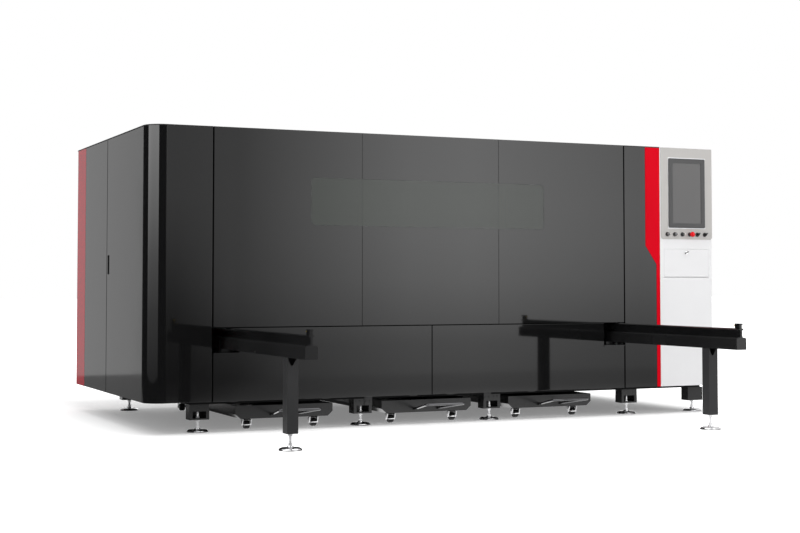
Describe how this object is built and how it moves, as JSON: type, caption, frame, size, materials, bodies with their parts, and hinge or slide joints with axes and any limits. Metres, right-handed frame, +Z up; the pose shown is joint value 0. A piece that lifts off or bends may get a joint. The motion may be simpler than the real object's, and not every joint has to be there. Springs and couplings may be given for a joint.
{
  "type": "fiber laser cutting machine",
  "caption": "Enclosed sheet-metal laser cutter with a lifting front door, tinted window, operator console, pull-out slatted worktable on outrigger rails and slag trolleys.",
  "frame": {"origin": "centre of the whole machine's footprint, outrigger rails included, on the floor", "axes": "+X along the machine's length from the plain side to the console side, +Y from the operator's front to the back, +Z up"},
  "size_m": [4.589, 3.711, 2.086],
  "materials": {
    "frame_paint": "satin powder coat, near black",
    "panel_gloss": "gloss dark grey paint",
    "column_gloss": "high gloss black paint",
    "side_grey": "satin mid grey paint",
    "trim_red": "gloss signal red paint",
    "console_white": "satin white paint",
    "face_grey": "matt warm grey paint",
    "bezel_dark": "fine textured dark plastic",
    "screen_glass": "unlit display under cover glass",
    "control_black": "black moulded plastic",
    "stop_red": "red moulded mushroom",
    "key_metal": "nickel plated",
    "window_tint": "green laser safety glazing",
    "zinc": "bright zinc plate",
    "rail_steel": "ground linear rail steel",
    "table_rail_black": "black oxide running rail",
    "slat_steel": "bare mild steel sheet",
    "wheel_steel": "turned steel",
    "gantry_paint": "satin grey casting paint",
    "head_alu": "anodised aluminium",
    "cylinder_alu": "anodised extrusion",
    "castor": "black rubber tread in bright zinc fork",
    "keyboard_black": "moulded keyboard"
  },
  "bodies": {
    "machine": {"frame_long_tubes": "frame_paint", "frame_cross_tubes": "frame_paint", "frame_posts": "frame_paint", "frame_foot_blocks": "frame_paint", "levelling_feet": "zinc", "gantry_runways": "frame_paint", "gantry_rails": "rail_steel", "enclosure_frame": "frame_paint", "corner_column": "column_gloss", "front_left_panel": "panel_gloss", "left_side_panel": "side_grey", "rear_left_trim": "trim_red", "lower_left_panel": "panel_gloss", "lower_right_panel": "panel_gloss", "front_right_panel": "panel_gloss", "front_trim": "trim_red", "console_housing": "console_white", "console_face_plate": "face_grey", "display_bezel": "bezel_dark", "display_glass": "screen_glass", "control_bezels": "control_black", "roof_panel": "column_gloss", "rear_panels": "side_grey", "right_side_panel": "console_white", "rail_beams": "frame_paint", "table_rails": "table_rail_black", "beam_legs": "frame_paint", "rail_stops": "table_rail_black", "beam_brackets": "frame_paint", "door_lift_guides": "cylinder_alu"},
    "door": {"front_door_frame": "frame_paint", "front_door_skins": "panel_gloss", "window_panes": "window_tint", "door_carriages": "rail_steel"},
    "side_door": {"side_door": "side_grey"},
    "side_handle": {"side_door_handle": "control_black"},
    "table": {"worktable_frame": "frame_paint", "worktable_slats": "slat_steel", "table_wheels": "wheel_steel"},
    "gantry": {"gantry_beam": "gantry_paint"},
    "carriage": {"head_carriage": "gantry_paint"},
    "head": {"cutting_head": "head_alu"},
    "button_left": {"push_button_left": "control_black"},
    "button_right": {"push_button_right": "control_black"},
    "key": {"key_switch": "key_metal"},
    "stop_button": {"emergency_stop": "stop_red"},
    "selector_a": {"selector_left": "control_black"},
    "selector_b": {"selector_right": "control_black"},
    "flap": {"keyboard_flap": "console_white", "keyboard": "keyboard_black"},
    "latch": {"flap_latch": "key_metal"},
    "trolley_left": {"slag_trolley_left": "frame_paint", "trolley_castors_left": "castor"},
    "bail_left": {"trolley_handle_left": "zinc"},
    "trolley_centre": {"slag_trolley_centre": "frame_paint", "trolley_castors_centre": "castor"},
    "bail_centre": {"trolley_handle_centre": "zinc"},
    "trolley_right": {"slag_trolley_right": "frame_paint", "trolley_castors_right": "castor"},
    "bail_right": {"trolley_handle_right": "zinc"}
  },
  "joints": [
    {"name": "door_lift", "type": "slide", "parent": "machine", "child": "door", "axis": [0, 0, 1], "range_m": [0, 1.1]},
    {"name": "side_door_hinge", "type": "hinge", "parent": "machine", "child": "side_door", "pos_m": [-2.2915, -0.2205, 1.15], "axis": [0, 0, 1], "range_deg": [0, 105]},
    {"name": "side_handle_pull", "type": "hinge", "parent": "side_door", "child": "side_handle", "pos_m": [-2.2865, 0.7625, 1.2075], "axis": [0, 1, 0], "range_deg": [0, 35]},
    {"name": "table_slide", "type": "slide", "parent": "machine", "child": "table", "axis": [0, -1, 0], "range_m": [0, 1.79]},
    {"name": "gantry_travel", "type": "slide", "parent": "machine", "child": "gantry", "axis": [1, 0, 0], "range_m": [-2.7, 0]},
    {"name": "carriage_travel", "type": "slide", "parent": "gantry", "child": "carriage", "axis": [0, 1, 0], "range_m": [0, 1.2]},
    {"name": "head_height", "type": "slide", "parent": "carriage", "child": "head", "axis": [0, 0, 1], "range_m": [0, 0.1]},
    {"name": "button_left_press", "type": "slide", "parent": "machine", "child": "button_left", "axis": [0, 1, 0], "range_m": [0, 0.004], "stiffness_N_per_m": 400},
    {"name": "button_right_press", "type": "slide", "parent": "machine", "child": "button_right", "axis": [0, 1, 0], "range_m": [0, 0.004], "stiffness_N_per_m": 400},
    {"name": "key_turn", "type": "hinge", "parent": "machine", "child": "key", "pos_m": [2.0025, -0.3515, 1.402], "axis": [0, 1, 0], "range_deg": [0, 90]},
    {"name": "stop_press", "type": "slide", "parent": "machine", "child": "stop_button", "axis": [0, 1, 0], "range_m": [0, 0.005], "stiffness_N_per_m": 600},
    {"name": "selector_a_turn", "type": "hinge", "parent": "machine", "child": "selector_a", "pos_m": [2.1445, -0.3515, 1.402], "axis": [0, 1, 0], "range_deg": [-90, 0]},
    {"name": "selector_b_turn", "type": "hinge", "parent": "machine", "child": "selector_b", "pos_m": [2.2155, -0.3515, 1.402], "axis": [0, 1, 0], "range_deg": [-90, 0]},
    {"name": "flap_hinge", "type": "hinge", "parent": "machine", "child": "flap", "pos_m": [2.043, -0.3436, 1.0705], "axis": [1, 0, 0], "range_deg": [0, 90]},
    {"name": "latch_turn", "type": "hinge", "parent": "flap", "child": "latch", "pos_m": [2.043, -0.3515, 1.258], "axis": [0, 1, 0], "range_deg": [0, 90]},
    {"name": "trolley_left_roll", "type": "slide", "parent": "machine", "child": "trolley_left", "axis": [0, -1, 0], "range_m": [0, 1.6]},
    {"name": "bail_left_lift", "type": "hinge", "parent": "trolley_left", "child": "bail_left", "pos_m": [-1.2705, -0.2245, 0.104], "axis": [-1, 0, 0], "range_deg": [0, 20]},
    {"name": "trolley_centre_roll", "type": "slide", "parent": "machine", "child": "trolley_centre", "axis": [0, -1, 0], "range_m": [0, 1.6]},
    {"name": "bail_centre_lift", "type": "hinge", "parent": "trolley_centre", "child": "bail_centre", "pos_m": [-0.1665, -0.2245, 0.104], "axis": [-1, 0, 0], "range_deg": [0, 20]},
    {"name": "trolley_right_roll", "type": "slide", "parent": "machine", "child": "trolley_right", "axis": [0, -1, 0], "range_m": [0, 1.6]},
    {"name": "bail_right_lift", "type": "hinge", "parent": "trolley_right", "child": "bail_right", "pos_m": [0.8735, -0.2245, 0.104], "axis": [-1, 0, 0], "range_deg": [0, 20]}
  ],
  "couplings": [
    {"joint": "table_slide", "follows": "door_lift", "ratio": 1.6273}
  ]
}
